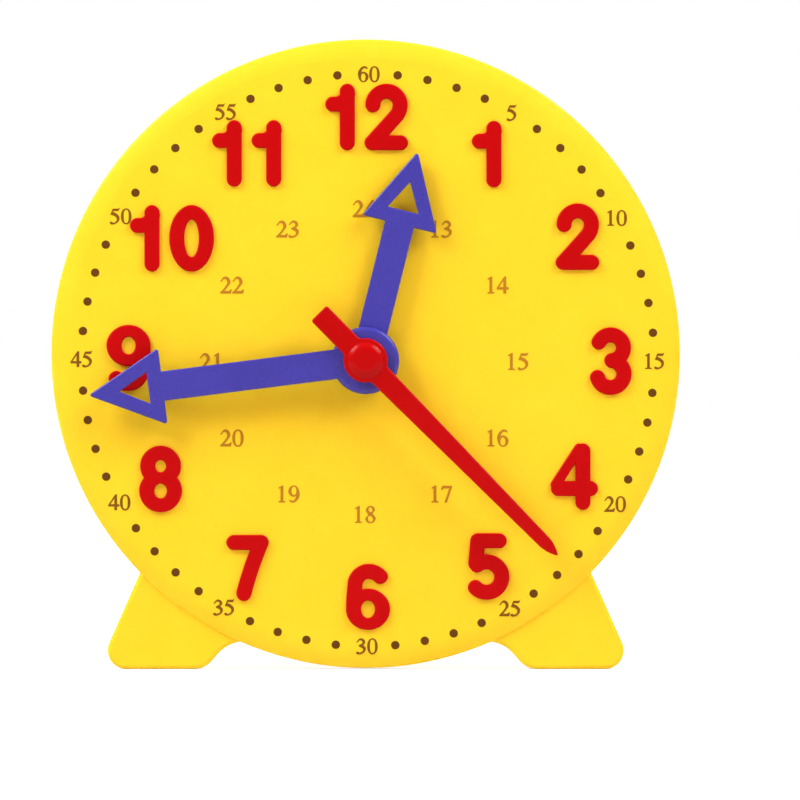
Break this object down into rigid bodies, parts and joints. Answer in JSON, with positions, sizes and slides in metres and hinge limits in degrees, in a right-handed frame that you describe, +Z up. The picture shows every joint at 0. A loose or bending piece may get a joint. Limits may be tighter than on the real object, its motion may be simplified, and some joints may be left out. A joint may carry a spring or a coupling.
{
  "type": "teaching clock",
  "caption": "Free-standing round teaching clock with raised hour numerals, arrow hands for hours and minutes geared behind the dial, and a slim second hand turned by finger.",
  "frame": {"origin": "middle of the box that holds the clock, on the floor under its feet", "axes": "+Z up, -Y out of the dial towards the reader, +Y out of the back, +X to the reader's right"},
  "size_m": [0.1, 0.012, 0.1002],
  "materials": {
    "yellow_plastic": "moulded bright yellow styrene, soft satin gloss",
    "red_plastic": "moulded red styrene, gloss",
    "blue_plastic": "moulded violet-blue styrene, satin gloss",
    "white_plastic": "natural white moulded gear plastic",
    "steel": "zinc plated steel"
  },
  "bodies": {
    "case": {"front_case": "yellow_plastic", "back_cover": "yellow_plastic", "case_screws": "steel", "centre_pin": "steel", "idler_pin": "steel", "friction_washer": "steel", "numeral_1": "red_plastic", "numeral_2": "red_plastic", "numeral_3": "red_plastic", "numeral_4": "red_plastic", "numeral_5": "red_plastic", "numeral_6": "red_plastic", "numeral_7": "red_plastic", "numeral_8": "red_plastic", "numeral_9": "red_plastic", "numeral_10": "red_plastic", "numeral_11": "red_plastic", "numeral_12": "red_plastic"},
    "minute": {"minute_arbor": "white_plastic", "minute_hand": "blue_plastic"},
    "idler": {"minute_wheel": "white_plastic"},
    "hour": {"hour_wheel": "white_plastic", "hour_hand": "blue_plastic"},
    "second": {"second_hand": "red_plastic"}
  },
  "joints": [
    {"name": "minute_turn", "type": "hinge", "parent": "case", "child": "minute", "pos_m": [0, 0, 0.0491], "axis": [0, 1, 0], "continuous": true},
    {"name": "idler_turn", "type": "hinge", "parent": "case", "child": "idler", "pos_m": [0.024, 0, 0.0491], "axis": [0, 1, 0], "continuous": true},
    {"name": "hour_turn", "type": "hinge", "parent": "case", "child": "hour", "pos_m": [0, 0, 0.0491], "axis": [0, 1, 0], "continuous": true},
    {"name": "second_turn", "type": "hinge", "parent": "case", "child": "second", "pos_m": [0, 0, 0.0491], "axis": [0, 1, 0], "continuous": true}
  ],
  "couplings": [
    {"joint": "idler_turn", "follows": "minute_turn", "ratio": -0.33333},
    {"joint": "hour_turn", "follows": "minute_turn", "ratio": 0.083333}
  ]
}
